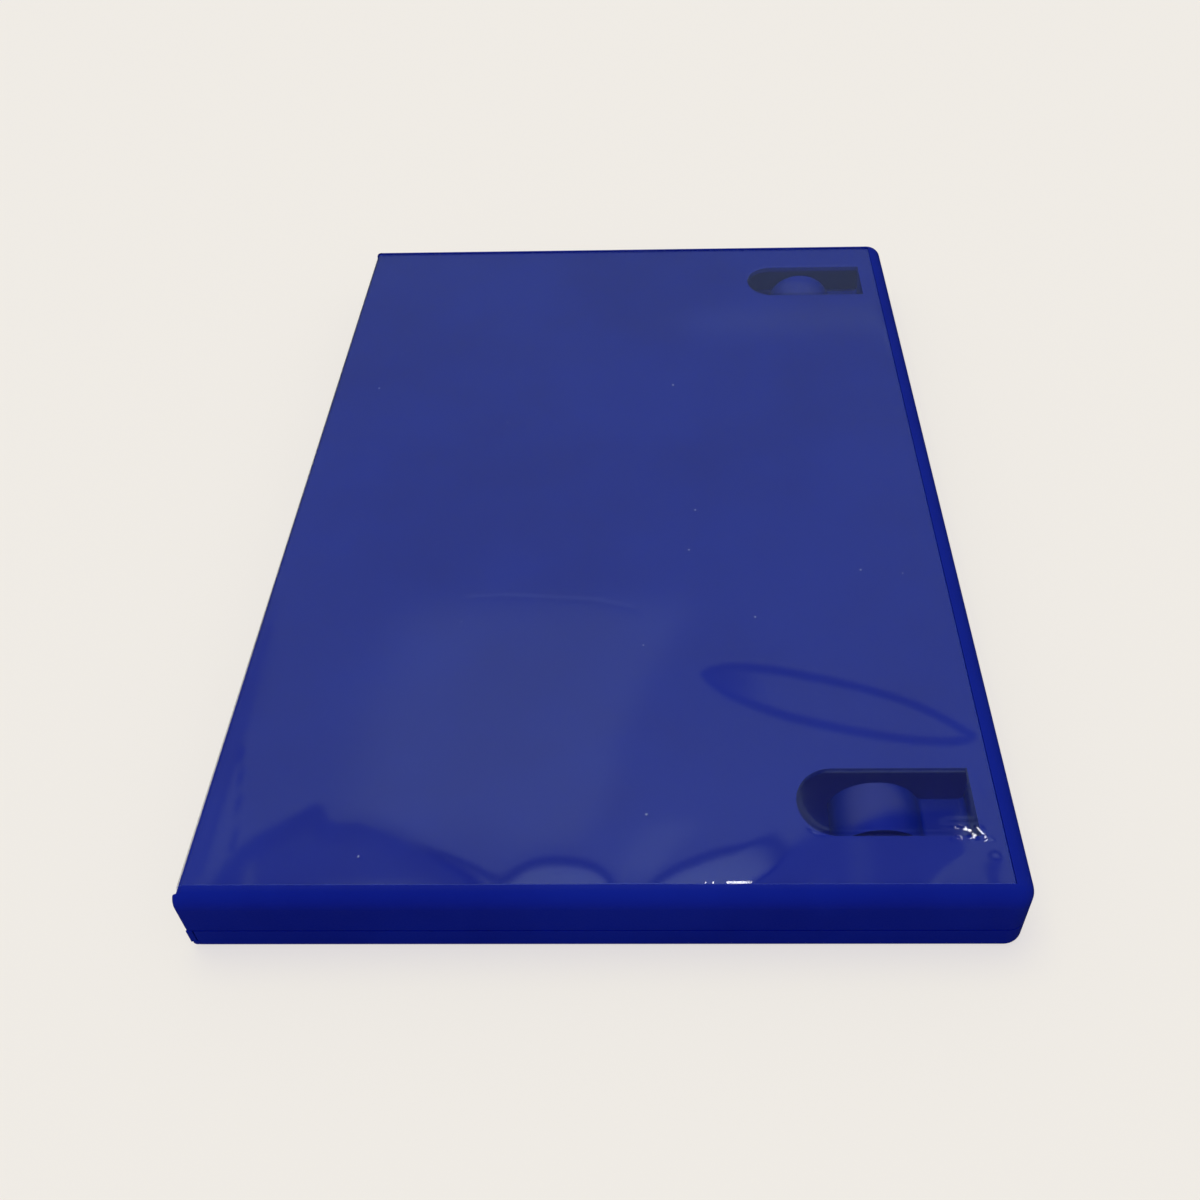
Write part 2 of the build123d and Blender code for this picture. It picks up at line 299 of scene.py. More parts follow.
tent_cloth, tree, output = new_finish("tent_cloth")
where = tree.nodes.new("ShaderNodeNewGeometry").outputs["Position"]
place = put(tree, "ShaderNodeSeparateXYZ", Vector=where).outputs
steepness = reckon(tree, "ARCTANGENT", reckon(tree, "DIVIDE", place["Z"], tent_reach))
degrees_up = reckon(tree, "MULTIPLY", steepness, 180 / math.pi)
straight_aside = reckon(tree, "DIVIDE", place["X"], place["Y"])
lean = reckon(tree, "SUBTRACT", degrees_up, lean_from)
aside = reckon(tree, "MULTIPLY_ADD", lean, patch_lean, straight_aside)
shades = put(tree, "ShaderNodeValToRGB", Fac=reckon(tree, "DIVIDE", degrees_up, straight_up))
shade_stops = shades.color_ramp.elements
shade_stops.remove(shade_stops[1])
for angle, shade in tent_shades:
    stop = shade_stops[0] if angle == 0 else shade_stops.new(angle / straight_up)
    stop.color = (shade, shade, shade, 1)
print("cloth shades from", tent_shades[0][0], "to", tent_shades[-1][0], "degrees")

# %% Patches and folds of the cloth
plain_level, patch_gain, fold_gain = 0.85, 0.34, 0.28
near_side, far_side, near_level = -1.0, 1.0, 0.2  # metres, and what is left of the shade on the near side


def between(tree, value, edges):
    """1 between two soft edges, 0 outside them."""
    return product(tree, spread(tree, value, *edges[:2]), spread(tree, value, *edges[2:], 1.0, 0.0))


patches = []
for wide, up in pale_patches:
    patches.append(product(tree, between(tree, aside, wide), between(tree, degrees_up, up)))
paler = reckon(tree, "ADD", reckon(tree, "ADD", *patches[:2]), patches[2])
paler = reckon(tree, "MULTIPLY_ADD", paler, patch_gain, plain_level)
folds = put(tree, "ShaderNodeTexNoise", Vector=where, Scale=0.55, Detail=2.0, Roughness=0.5)
paler = reckon(tree, "MULTIPLY_ADD", folds.outputs["Fac"], fold_gain, paler)
paler = product(tree, paler, spread(tree, place["Y"], near_side, far_side, near_level, 1.0))
cloth_strength = product(tree, shades.outputs["Color"], paler)
cloth = put(tree, "ShaderNodeEmission", Color=tent_tint, Strength=cloth_strength)
feed(tree, output.inputs["Surface"], cloth.outputs[0])
print("near side at", near_level, "of its shade")

# %% Tent
tent_floor = 0.0001  # just over the table
tent_points = [(x * tent_reach, y * tent_reach, z) for z in (tent_floor, tent_height) for x, y in square]
tent_faces = [(0, 1, 5, 4), (1, 2, 6, 5), (2, 3, 7, 6), (3, 0, 4, 7), (4, 5, 6, 7), (0, 3, 2, 1)]
tent = stage_piece("grey_tent", tent_points, tent_faces, tent_cloth)
print("tent", 2 * tent_reach, "m square")

# %% Small lamp for the glints
lamp_middle = Vector((0.5, 3.3, 9.4))
lamp_radius = 1.1
lamp_core = 0.6  # the part of the radius that glows evenly
lamp_strength = 9.0
lamp_finish, tree, output = new_finish("lamp_glow")
from_middle = put(tree, "ShaderNodeVectorMath", {"operation": "DISTANCE"})
feed(tree, from_middle.inputs[0], tree.nodes.new("ShaderNodeNewGeometry").outputs["Position"])
feed(tree, from_middle.inputs[1], lamp_middle)
distance = from_middle.outputs["Value"]
glow_here = spread(tree, distance, lamp_core * lamp_radius, lamp_radius, lamp_strength, 0.0)
lamp_glow = put(tree, "ShaderNodeEmission", Color=white, Strength=glow_here)
feed(tree, output.inputs["Surface"], lamp_glow.outputs[0])
lamp_points = [lamp_middle + Vector((x, 0, z)) * lamp_radius for x, z in square]
lamp = stage_piece("small_lamp", lamp_points, [(0, 1, 2, 3)], lamp_finish)
for mirrored in (tent, lamp):
    for ray in ("camera", "diffuse", "transmission", "volume_scatter", "shadow"):
        setattr(mirrored, f"visible_{ray}", False)
print("lamp", 2 * lamp_radius, "m wide,", round(lamp_middle.z, 2), "m up")

# %% [markdown]
# ## Blue polypropylene
# The moulding is a deep blue polypropylene, satin from the mould. A flat colour would look like paint, and
# a photograph of the plastic would repeat itself. Here a slow cloud moves the blue and a fine grain breaks
# the gloss. The crown of each booklet clip, just under its window, has a painted highlight: a paler blue
# that stands in for the light and reflection there, and fades aslant towards the nearer end of the case.

# %% Clouds and grain
deep_blue, fresh_blue = (0.0006, 0.0078, 0.212, 1), (0.0012, 0.0108, 0.243, 1)
blue_plastic, tree, output = new_finish("blue_polypropylene")
spot = tree.nodes.new("ShaderNodeTexCoord").outputs["Object"]
cloud = put(tree, "ShaderNodeTexNoise", Vector=spot, Scale=35.0, Detail=3.0, Roughness=0.55)
grain = put(tree, "ShaderNodeTexNoise", Vector=spot, Scale=2600.0, Detail=2.0, Roughness=0.6)
blues = mixed_color(tree, spread(tree, cloud.outputs["Fac"], 0.3, 0.7), deep_blue, fresh_blue)
print("blue from", deep_blue[:3], "to", fresh_blue[:3])

# %% Painted highlight on the clips' crowns
crown_x, crown_y = 0.0440, 0.0772  # metres, the far clip's crown, which the near one mirrors
highlight_reach = (0.004, 0.0075)  # from the crown, where the painted highlight starts to fade and where it ends
highlight_start, highlight_end = (0.009, 0.012), (0.0128, 0.0132)  # heights between which it lies
slant, slant_fade = 0.4, (0.0005, 0.0035)  # the painted highlight fades aslant across the crown
near_to_far, far_clip_share = (-0.05, 0.05), 0.55  # the far clip's painted highlight is weaker
# paler blue of the painted highlight, standing in for light and reflection on each clip's crown
painted_highlight_blue = (0.022, 0.032, 0.225, 1)

spot_parts = put(tree, "ShaderNodeSeparateXYZ", Vector=spot).outputs
from_crown_x = reckon(tree, "SUBTRACT", spot_parts["X"], crown_x)
from_crown_y = reckon(tree, "SUBTRACT", reckon(tree, "ABSOLUTE", spot_parts["Y"]), crown_y)
square_y = reckon(tree, "MULTIPLY", from_crown_y, from_crown_y)
from_crown = reckon(tree, "SQRT", reckon(tree, "MULTIPLY_ADD", from_crown_x, from_crown_x, square_y))
aslant = reckon(tree, "MULTIPLY_ADD", from_crown_x, slant, from_crown_y)
# where the painted highlight lies: round each crown, between two heights, fading aslant
painted_highlight = product(
    tree,
    spread(tree, from_crown, *highlight_reach, 1.0, 0.0),
    spread(tree, spot_parts["Z"], *highlight_start),
    spread(tree, spot_parts["Z"], *highlight_end, 1.0, 0.0),
    spread(tree, aslant, *slant_fade, 1.0, 0.0),
    spread(tree, spot_parts["Y"], *near_to_far, 1.0, far_clip_share),
)
# the painted highlight is mixed into the plastic's blue
plastic_blue = mixed_color(tree, painted_highlight, blues, painted_highlight_blue)
print("rubbed within", highlight_reach[1] / mm, "mm of each crown")

# %% Plastic finish
satin = (0.34, 0.46)  # roughness, from the smooth to the rough of the grain
skin = put(tree, "ShaderNodeBump", Strength=0.25, Distance=0.00004, Height=grain.outputs["Fac"])
plastic = put(
    tree,
    "ShaderNodeBsdfPrincipled",
    Base_Color=plastic_blue,
    Roughness=spread(tree, grain.outputs["Fac"], 0.2, 0.8, *satin),
    IOR=1.49,
    Specular_IOR_Level=0.1,
    Normal=skin.outputs["Normal"],
)
feed(tree, output.inputs["Surface"], plastic.outputs[0])
mouldings = ("front_cover", "spine", "back_tray", "hub_tongue_spine_side", "hub_tongue_fore_side")
for moulding in mouldings:
    for material_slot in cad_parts[moulding].material_slots:
        material_slot.material = blue_plastic
print("blue plastic on", len(mouldings), "mouldings")

# %% [markdown]
# ## Clear film
# The sleeve is a clear film, about a tenth of a millimetre thick. Glass shaders bend light and darken what
# is under them, which a film this thin doesn't do. So light passes straight through it, and the rest is a
# sharp reflection that grows towards a grazing view. Over an air gap three faces mirror: both of the film's
# and the plastic's. Where the film clings to the plastic only its outer face is left, so those places look
# darker. Each point of the film carries that count. Light on its way to the plastic loses nothing here,
# because what one face turns back the next returns. The cut edge of the film is paler than its faces.

# %% Film faces
head_on = 0.04  # the share that one face mirrors when it is seen head on
clear_film, tree, output = new_finish("clear_film")
grazing = put(tree, "ShaderNodeLayerWeight", Blend=0.5).outputs["Facing"]
one_face = reckon(tree, "MULTIPLY_ADD", reckon(tree, "POWER", grazing, 5.0), 1 - head_on, head_on)
faces_here = put(tree, "ShaderNodeAttribute", {"attribute_name": "mirror_faces"}).outputs["Fac"]
rays = tree.nodes.new("ShaderNodeLightPath").outputs
lighting = reckon(tree, "MAXIMUM", rays["Is Shadow Ray"], rays["Is Diffuse Ray"])
mirror_share = product(tree, one_face, faces_here, reckon(tree, "SUBTRACT", 1.0, lighting))
straight_through = put(tree, "ShaderNodeBsdfTransparent", Color=white)
mirror = put(tree, "ShaderNodeBsdfGlossy", Color=white, Roughness=0.06)
film_face = either(tree, mirror_share, straight_through, mirror)
feed(tree, output.inputs["Surface"], film_face.outputs[0])
print("film finish:", clear_film.name)

# %% Cut edge of the film
frost_share = 0.17
film_cut, tree, output = new_finish("film_cut_edge")
frost = put(tree, "ShaderNodeBsdfDiffuse", Color=(0.11, 0.17, 0.62, 1))
past_frost = put(tree, "ShaderNodeBsdfTransparent", Color=white)
film_edge = either(tree, frost_share, past_frost, frost)
feed(tree, output.inputs["Surface"], film_edge.outputs[0])
print("edge finish:", film_cut.name)

# %% [markdown]
# ## Where the film lies
# The frame has the film as three flats. The real sleeve is one sheet that folds round both edges of the
# spine. The flats could be bent and joined, but it is simpler to draw the film as a line round the case,
# seen from the end, and to sweep that along the case's length. The line starts at the opening edge, crosses
# the front, rounds the fold and stops in the middle of the spine. The back half is the same line turned
# over.

# %% Sizes of the film
front_low, front_high = (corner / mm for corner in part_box("front_film"))
back_low, back_high = (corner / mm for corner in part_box("back_film"))
spine_low, spine_high = (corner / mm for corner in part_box("spine_film"))
film_wall = front_high.z - front_low.z
film_air = 0.01  # between the film and the plastic where it is tight
fold_radius = 1.3
fold_x = spine_high.x + fold_radius
spine_middle = (spine_low.z + spine_high.z) / 2
print("film", round(film_wall, 2), "mm, fold radius", fold_radius, "mm")

# %% Line of the film
fold_steps, spine_steps = 10, 4


def places_between(*stops):
    """Places along a line, from (start, step) pairs to a last place."""
    places = []
    for (start, step), (end, _) in zip(stops[:-1], stops[1:]):
        places.append(np.linspace(start, end, round(abs(end - start) / step), endpoint=False))
    return np.concatenate(places + [[stops[-1][0]]])


def film_line(bed_z, side, columns):
    """Points and outward normals of the film's inner face, for the front (side 1) or the back (side -1)."""
    fold_z = bed_z - side * fold_radius
    crossing = places_between(*columns, (fold_x, 0))
    flat = len(crossing)
    turns = np.linspace(math.pi / 2, math.pi, fold_steps + 1)[1:]
    round_x, round_z = np.cos(turns), side * np.sin(turns)
    down = np.linspace(fold_z, spine_middle, spine_steps + 1)[1:]
    along_x = np.concatenate([crossing, fold_x + fold_radius * round_x, np.full(spine_steps, spine_high.x)])
    along_z = np.concatenate([np.full(flat, bed_z), fold_z + fold_radius * round_z, down])
    out_x = np.concatenate([np.zeros(flat), round_x, np.full(spine_steps, -1.0)])
    out_z = np.concatenate([np.full(flat, side), round_z, np.zeros(spine_steps)])
    return along_x, along_z, out_x, out_z


print("steps round the fold", fold_steps, "and down the spine", spine_steps)

# %% [markdown]
# ## How the film is loose
# A sleeve is never quite flat. Here the film stands a few hundredths of a millimetre off the plastic and
# clings in places: in a patch by the spine, below the lower window, along thin creases, and in a ring round
# a bubble beside that window. Near its open end it lifts and then falls to its cut edge in two lips. Over
# each window it sags, and at the corner of the lower one it is pinched. A painted veil would stay put as
# the eye moves, and a cloth simulation wouldn't put each wave where the photograph has it. So each wave is
# a height with its own formula, in millimetres, which catches the light from every side.

# %% Ramps and smooth lines
curve_steps = 6  # from one point of a line to the next


def ramp(value, low, high):
    """0 up to the low value, 1 from the high value, and smooth between them."""
    share = np.clip((value - low) / (high - low), 0, 1)
    return share * share * (3 - 2 * share)


def curve(*points):
    """A smooth line through a few points."""
    posts = np.array([points[0], *points, points[-1]], float)
    line = []
    for before, start, end, after in zip(posts[:-3], posts[1:-2], posts[2:-1], posts[3:]):
        for share in np.linspace(0, 1, curve_steps, endpoint=False):
            bend = 2 * before - 5 * start + 4 * end - after
            swing = 3 * start - before - 3 * end + after
            line.append(start + ((end - before) * share + bend * share**2 + swing * share**3) / 2)
    return np.array(line + [posts[-1]])


print("a quarter up a ramp:", ramp(0.25, 0, 1))

# %% Places against a line
no_line = -99  # stands for the line's height where it doesn't reach, so that nothing there is below it


def off_line(x, y, line):
    """How far each place is from a line."""
    nearest = np.full(x.shape, np.inf)
    for (start_x, start_y), (end_x, end_y) in zip(line[:-1], line[1:]):
        run_x, run_y = end_x - start_x, end_y - start_y
        share = ((x - start_x) * run_x + (y - start_y) * run_y) / max(run_x**2 + run_y**2, 1e-9)
        share = np.clip(share, 0, 1)
        nearest = np.minimum(nearest, np.hypot(x - start_x - share * run_x, y - start_y - share * run_y))
    return nearest


def under(line, x, y):
    """How far each place is below a line that runs from left to right."""
    return np.interp(x, *line.T, left=no_line, right=no_line) - y


level_line = np.array([(-5.0, 0.0), (5.0, 0.0)])
print("3 mm over a level line:", off_line(np.zeros(1), np.full(1, 3.0), level_line)[0], "mm off it")

# %% Patch that clings, by the spine
patch_left = curve((-59.4, -96), (-58, -88.4), (-55.5, -85), (-51.5, -82), (-47.8, -79.2))
patch_right = curve(
    (-46.8, -81), (-44.5, -82.6), (-40, -83), (-35, -84.8), (-29.5, -87.8), (-23, -91), (-19.5, -93.4)
)
patch_edge = np.concatenate([patch_left, patch_right])
patch_fade = 4.4


def patch_cling(x, y):
    """1 in the patch, which fades round its edge."""
    off_patch = np.where(under(patch_edge, x, y) > 0, 0, off_line(x, y, patch_edge))
    return 1 - ramp(off_patch, 0, patch_fade)


def spine_cling(x, y):
    """1 along the fold, growing from the middle of the case towards its open end."""
    return (1 - ramp(x, -66, -57)) * ramp(-y, -20, 60)


print("edge of the patch:", len(patch_edge), "points")

# %% Bubble in its ring
ring_tip, ring_tail = (17.4, -50.8), (62.6, -64.4)
ring_top = curve(
    ring_tip, (19, -49.8), (22.5, -49.2), (30, -50), (40, -52.5), (50, -56), (57, -59.8), ring_tail
)
ring_low = curve(
    ring_tip,
    (19, -53),
    (22, -55.5),
    (30, -59.6),
    (40, -62.7),
    (50, -64.9),
    (57, -65.6),
    (61, -65.3),
    ring_tail,
)
ring_line = np.concatenate([ring_top, ring_low[::-1]])
ring_half, tip_share = 2.8, 0.9


def ring_cling(x, y):
    """1 where the film clings: along the ring, and nearly so inside its tip."""
    inside = np.minimum(under(ring_top, x, y), -under(ring_low, x, y))
    in_tip = ramp(inside, -0.8, 1.0) * (1 - ramp(x, 19, 38))
    return np.maximum(1 - ramp(off_line(x, y, ring_line), 0, ring_half), tip_share * in_tip)


print("ring:", len(ring_line), "points")

# %% Lips at the open end
lip_left = curve(
    (-21.6, -99), (-18, -89.4), (-13.8, -86.4), (-7.5, -85.1), (-2.3, -86), (0.9, -88.8), (3.4, -97)
)
lip_right = curve(
    (5.6, -97),
    (8, -91),
    (10, -88.3),
    (13, -85.9),
    (18, -83.1),
    (22, -81.4),
    (27, -77.8),
    (31, -73),
    (36, -70),
    (44, -68),
)
lips = [(lip_left, 0.033), (lip_right, 0.0305)]  # where each starts to fall, and its slope
lip_round = 5.6  # the slope grows over this length
flattening, window_flattening = 0.015, 0.034  # past the round, and what is added towards the window


def lip_fall(x, y):
    """Past the round the slope flattens again, and sooner towards the window."""
    flatter = flattening + window_flattening * ramp(x, 23, 35)
    total = np.zeros(x.shape)
    for edge, slope in lips:
        inward = np.clip(under(edge, x, y), 0, None)
        beyond = inward - lip_round
        straight = slope * (lip_round / 2 + beyond - flatter * beyond**2)
        total += np.where(beyond < 0, slope * inward**2 / (2 * lip_round), straight)
    return total


print("lips:", len(lips))

# %% Curls of the cut edge
curls = [(21.5, 2.0), (17.4, 0.12), (16.2, 0.1)]  # places along the edge that curl down, and half lengths
curl_fade, curl_depth, curl_slope = 0.3, 0.65, 0.06


def curl_fall(x, y):
    """How far the film falls where it curls, over its last half millimetre or so."""
    along = sum(1 - ramp(np.abs(x - place), half, half + curl_fade) for place, half in curls)
    return curl_slope * along * np.clip(front_low.y + curl_depth - y, 0, None)


print("curls:", len(curls))

# %% Windows under the film
window_low_x, window_high_x = 31.5, 60.5
window_middle_y, window_half = 77.3, 6.4  # the upper window's middle, which the lower window mirrors


def off_window(x, y):
    """How far each place is outside the lower window, whose left end is round."""
    return np.hypot(np.clip(window_low_x + window_half - x, 0, None), y + window_middle_y) - window_half


print("windows", window_high_x - window_low_x, "x", 2 * window_half, "mm")

# %% Film that clings below the lower window
corner_edge = curve((49.5, -94), (52, -91.2), (54.5, -89), (58, -86.9), (61.5, -85.7))
bare_edge = curve((34, -83), (40.5, -81), (51, -79), (59.5, -78))
pale_stripe_x, pale_stripe_half, pale_stripe_share = 40.3, 3, 0.25


def window_cling(x, y):
    """1 where the film clings, from the window's near side to the open end, but not in the pale corner."""
    out_of_corner = 1 - ramp(under(corner_edge, x, y), -1.0, 0.8)
    stripe = pale_stripe_share * np.exp(-(((x - pale_stripe_x) / pale_stripe_half) ** 2))
    across = ramp(x, 33, 37) * (1 - ramp(x, 56, 60)) * (1 - stripe)
    return out_of_corner * across * (1 - ramp(y, -83.9, -82.6))


def window_bare(x, y):
    """1 where the photograph's film shows no veil over the window, so that only its outer face mirrors."""
    return ramp(under(bare_edge, x, y), -0.4, 0.8) * (1 - ramp(x, 56, 58)) * ramp(y, -84.8, -83.6)


print("edge of the pale corner:", len(corner_edge), "points")

# %% Creases and small folds
creases = [  # line, how much of the gap it takes, half width
    (patch_edge, 0.85, 1.8),
    (np.array([(-63.2, -66), (-61.8, -72), (-60.3, -80), (-59.6, -86)]), 0.7, 0.5),
    (np.array([(-64.6, -38), (-63.9, -70), (-63.6, -90)]), 0.4, 0.5),
    (np.array([(-62.4, -44), (-62.0, -58), (-61.2, -64)]), 0.3, 0.5),
    (curve((-28, -32), (-20, -31.6), (-10, -32.4), (-3, -33), (4, -35)), 0.35, 0.35),
    (curve((60.6, -95), (60.9, -91), (62, -88.4)), 0.9, 1.5),
    (np.array([(62, -73.6), (62.2, -76.4)]), 0.6, 0.9),
    (np.array([(33.5, -96), (34.5, -89)]), 0.7, 3.0),
]
small_fold = 0.02


def small_folds(x, y):
    """Two low folds in the patch by the spine: one along the cut edge and one aslant."""
    along_edge = np.exp(-(((x + 35) / 8) ** 2) - ((y + 93) / 1.6) ** 2)
    slanting = np.exp(-(((x + 55.5 + 0.3 * (y + 92)) / 1.1) ** 2)) * ramp(-y, 85, 88)
    return small_fold * (along_edge + slanting)


print("creases:", len(creases))

# %% Air under the film
slack = 0.06  # the film's usual height over its tight place
slow_wave = 0.008
lift, lift_run = 0.19, (66, 86)  # what the open end adds to it, and from where to where it rises
free_left, free_right = (-19, -10), (33, 42)  # the open end comes loose and is held again between these
window_clearance = 1.2
clings = [(patch_cling, 0.78), (ring_cling, 0.92), (window_cling, 0.95), (spine_cling, 0.75)]


def air_gap(x, y):
    """Air between the film and the plastic on the front."""
    gap = slack + slow_wave * np.sin(0.055 * x + 0.9) * np.sin(0.041 * y + 0.4)
    free = ramp(x, *free_left) * (1 - ramp(x, *free_right)) * ramp(off_window(x, y), 0, window_clearance)
    gap = gap + (lift * ramp(-y, *lift_run) - lip_fall(x, y)) * free
    for cling, hold in clings:
        gap = gap * (1 - hold * cling(x, y))
    gap = gap + small_folds(x, y)
    for line, hold, half_width in creases:
        gap = gap * (1 - hold * np.exp(-((off_line(x, y, line) / half_width) ** 2)))
    return np.clip(gap, 0, None)


print("clings:", len(clings))

# %% Sag over the windows
first_slope, slope_ease = 0.0525, 0.001  # at the window's far side, and how it flattens
first_drop, first_drop_over = 0.015, 0.3
near_rise, end_rise = 1.2, 0.5  # the film comes up again over these lengths
pinch_x, pinch_y, pinch_half_x, pinch_half_y = 59.0, -82.8, 3.2, 1.9


def pinch(x, y):
    """1 where the film is pinched up, at the corner of the lower window."""
    return np.exp(-(((x - pinch_x) / pinch_half_x) ** 4) - (((y - pinch_y) / pinch_half_y) ** 8))


def long_slope(down):
    """Depth of the slope at a way in from the window's far side: it flattens as it goes."""
    return first_slope * down - slope_ease * down**2


def sag(x, y):
    """How far the film hangs into each window: a long slope down from the far side, and a short one up."""
    round_end = np.clip(window_low_x + window_half - x, 0, window_half)
    half_here = np.sqrt(window_half**2 - round_end**2)
    in_from_side = window_half - half_here
    hang = np.zeros(x.shape)
    for middle in (-window_middle_y, window_middle_y):
        down = np.clip(middle + half_here - y, 0, 2 * half_here)
        slope_down = long_slope(in_from_side + down) - long_slope(in_from_side)
        slope_down = slope_down + first_drop * (1 - np.exp(-down / first_drop_over))
        hang += slope_down * ramp(y, middle - half_here, middle - half_here + near_rise)
    return hang * (1 - ramp(x, window_high_x - end_rise, window_high_x)) * (1 - pinch(x, y))


print("depth of the slope at the near side:", round(long_slope(2 * window_half), 2), "mm")

# %% Facets of the pinched corner
facets = [  # place in the pinched film, half length, half width and turn
    (58.2, -82.7, 1.5, 0.42, -14),
    (60.3, -83.0, 1.1, 0.46, -42),
    (59.0, -84.0, 1.2, 0.40, 22),
    (61.0, -84.2, 0.9, 0.40, 62),
    (57.0, -84.2, 0.8, 0.34, 6),
]
facet_slope_x, facet_slope_y, facet_drop = 0.103, 0.054, 0.03  # tipped to the lamp, and a little lower
corner_slope, corner_foot = 0.042, -86


def crumple(x, y):
    """The pinched place falls towards the open end, and a few small facets in it are tipped to the lamp."""
    height = corner_slope * (y - corner_foot) * pinch(x, y)
    for place_x, place_y, half_length, half_width, turned in facets:
        angle = math.radians(turned)
        along = (x - place_x) * math.cos(angle) + (y - place_y) * math.sin(angle)
        across = (y - place_y) * math.cos(angle) - (x - place_x) * math.sin(angle)
        flat = np.exp(-((along / half_length) ** 6) - (across / half_width) ** 6)
        tipped = facet_slope_x * (x - place_x) + facet_slope_y * (y - place_y)
        height = height + flat * (tipped - facet_drop)
    return height


print("facets:", len(facets))

# %% Height and mirrors of the front
inner_mirrors = 1.7  # the film's inner face, and the plastic's, which is less of a mirror
clinging_gap, free_gap = 0.003, 0.036


def front_height(x, y):
    """The film's height over its tight place."""
    return air_gap(x, y) - sag(x, y) + crumple(x, y) - curl_fall(x, y)


def front_mirrors(x, y):
    """Mirror faces under the film's outer one, which count only where there is air."""
    return inner_mirrors * ramp(air_gap(x, y), clinging_gap, free_gap) * (1 - window_bare(x, y))


probe_x, probe_y = np.array([0.0, -40.0, 46.0]), np.array([0.0, -88.0, -78.0])
print("film heights, mm:", front_height(probe_x, probe_y).round(3))
print("mirror faces:", front_mirrors(probe_x, probe_y).round(2))

# %% [markdown]
# ## The sheets
# Each half of the sleeve is a thin solid: an inner face, an outer face a film's thickness away, and a cut
# edge all round. A plane with a solidify modifier could give that too, but here the two faces need their
# own count of mirrors. Rows of points are close together where the film is creased and wider apart where it
# is calm. The front half lies over the cover and rounds the fold onto the spine, and the back half lies
# along the tray.

# %% Points of a sheet
edge_ease, fold_ease = 1.5, 5  # the film is tight again over these lengths, at its side edge and at the fold


def sheet_points(line, rows, height):
    """Places across and along the case, the inner face's height, and the points of both faces."""
    along_x, along_z, out_x, out_z = line
    x, y = np.meshgrid(along_x, rows, indexing="ij")
    ease = ramp(front_high.x - x, 0, edge_ease) * ramp(x - fold_x, 0, fold_ease)
    inner = film_air + ease * height(x, y)
    layers = []
    for depth in (inner, inner + film_wall):
        layer = [x + out_x[:, None] * depth, y, along_z[:, None] + out_z[:, None] * depth]
        layers.append(np.stack(layer, axis=-1).reshape(-1, 3))
    return x, y, inner, np.concatenate(layers) * mm


print("the film comes down over", edge_ease, "mm at its side edge and", fold_ease, "mm at the fold")

# %% Faces of a sheet


def sheet_faces(across, along, side):
    """Faces of the inner layer, the outer layer and the cut edge, and how many are in the edge."""
    number = np.arange(across * along).reshape(across, along)
    grid = np.stack([number[:-1, :-1], number[1:, :-1], number[1:, 1:], number[:-1, 1:]], axis=-1)
    grid = grid.reshape(-1, 4)
    rim = np.concatenate([number[:-1, 0], number[-1, :-1], number[:0:-1, -1], number[0, :0:-1]])
    other = rim + across * along
    edges = np.stack([rim, np.roll(rim, -1), np.roll(other, -1), other], axis=-1)
    faces = np.concatenate([grid, grid[:, ::-1] + across * along, edges[:, ::-1]])
    if side < 0:
        faces = faces[:, ::-1]
    return faces, len(edges)


def paler_faces(across, along, edge_count):
    """1 for the faces that have the cut edge's finish: the edge, and a narrow bead along three sides."""
    bead = np.zeros((across - 1, along - 1), np.int32)
    bead[0] = 1
    bead[:, 0] = 1
    bead[:, -1] = 1
    return np.concatenate([bead.ravel(), bead.ravel(), np.ones(edge_count, np.int32)])


print("faces of a sheet of 2 x 2 points:", len(sheet_faces(2, 2, 1)[0]))

# %% Sheet builder
sharp_edge = math.radians(60)


def film_sheet(name, line, rows, height, mirrors, side):
    """A closed sheet swept along the case, from its line and the rows' places along Y."""
    x, y, inner, points = sheet_points(line, rows, height)
    faces, edge_count = sheet_faces(*x.shape, side)
    mesh = bpy.data.meshes.new(name)
    mesh.from_pydata(points.tolist(), [], faces.tolist())
    mesh.materials.append(clear_film)
    mesh.materials.append(film_cut)
    mesh.polygons.foreach_set("material_index", paler_faces(*x.shape, edge_count))
    mesh.polygons.foreach_set("use_smooth", np.ones(len(faces), bool))
    mesh.set_sharp_from_angle(angle=sharp_edge)
    counts = np.concatenate([mirrors(x, y).ravel(), np.ones(x.size)]).astype(np.float32)
    mesh.attributes.new("mirror_faces", "FLOAT", "POINT").data.foreach_set("value", counts)
    mesh.update()
    sheet = bpy.data.objects.new(name, mesh)
    bpy.context.scene.collection.objects.link(sheet)
    print(name, len(points), "points,", len(faces), "faces")
    print(name, "heights from", inner.min().round(3), "to", inner.max().round(3), "mm")
    return sheet


# %% Front half of the sleeve
cut_bead = 0.17  # the film is paler along its cut edges
front_columns = [  # start and step, from the opening edge to the fold
    (front_high.x, cut_bead),
    (front_high.x - cut_bead, 0.4),
    (61.8, 0.14),
    (55.8, 0.55),
    (25, 0.25),
    (15, 1.0),
]
front_rows = places_between(
    (front_low.y, cut_bead),
    (front_low.y + 4 * cut_bead, 0.3),
    (-85, 0.14),
    (-81.6, 0.3),
    (-80.5, 0.6),
    (-44, 1.6),
    (-35.5, 0.45),
    (-30.5, 2.5),
    (68, 1.0),
    (86, 2.5),
    (front_high.y - cut_bead, cut_bead),
    (front_high.y, 0),
)
front_line = film_line(front_low.z, 1, front_columns)
front_sheet = film_sheet("sleeve_front", front_line, front_rows, front_height, front_mirrors, 1)
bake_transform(front_sheet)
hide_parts("front_film", "spine_film")

# %% Back half of the sleeve
back_slack, back_wave = 0.03, 0.025
back_step = 2.0


def back_height(x, y):
    """The case lies on its back film, which is nearly tight."""
    return back_slack + back_wave * np.sin(0.05 * x + 0.4) * np.sin(0.038 * y - 0.8)


def back_mirrors(x, y):
    """The back film clings nowhere."""
    return np.full(x.shape, inner_mirrors)


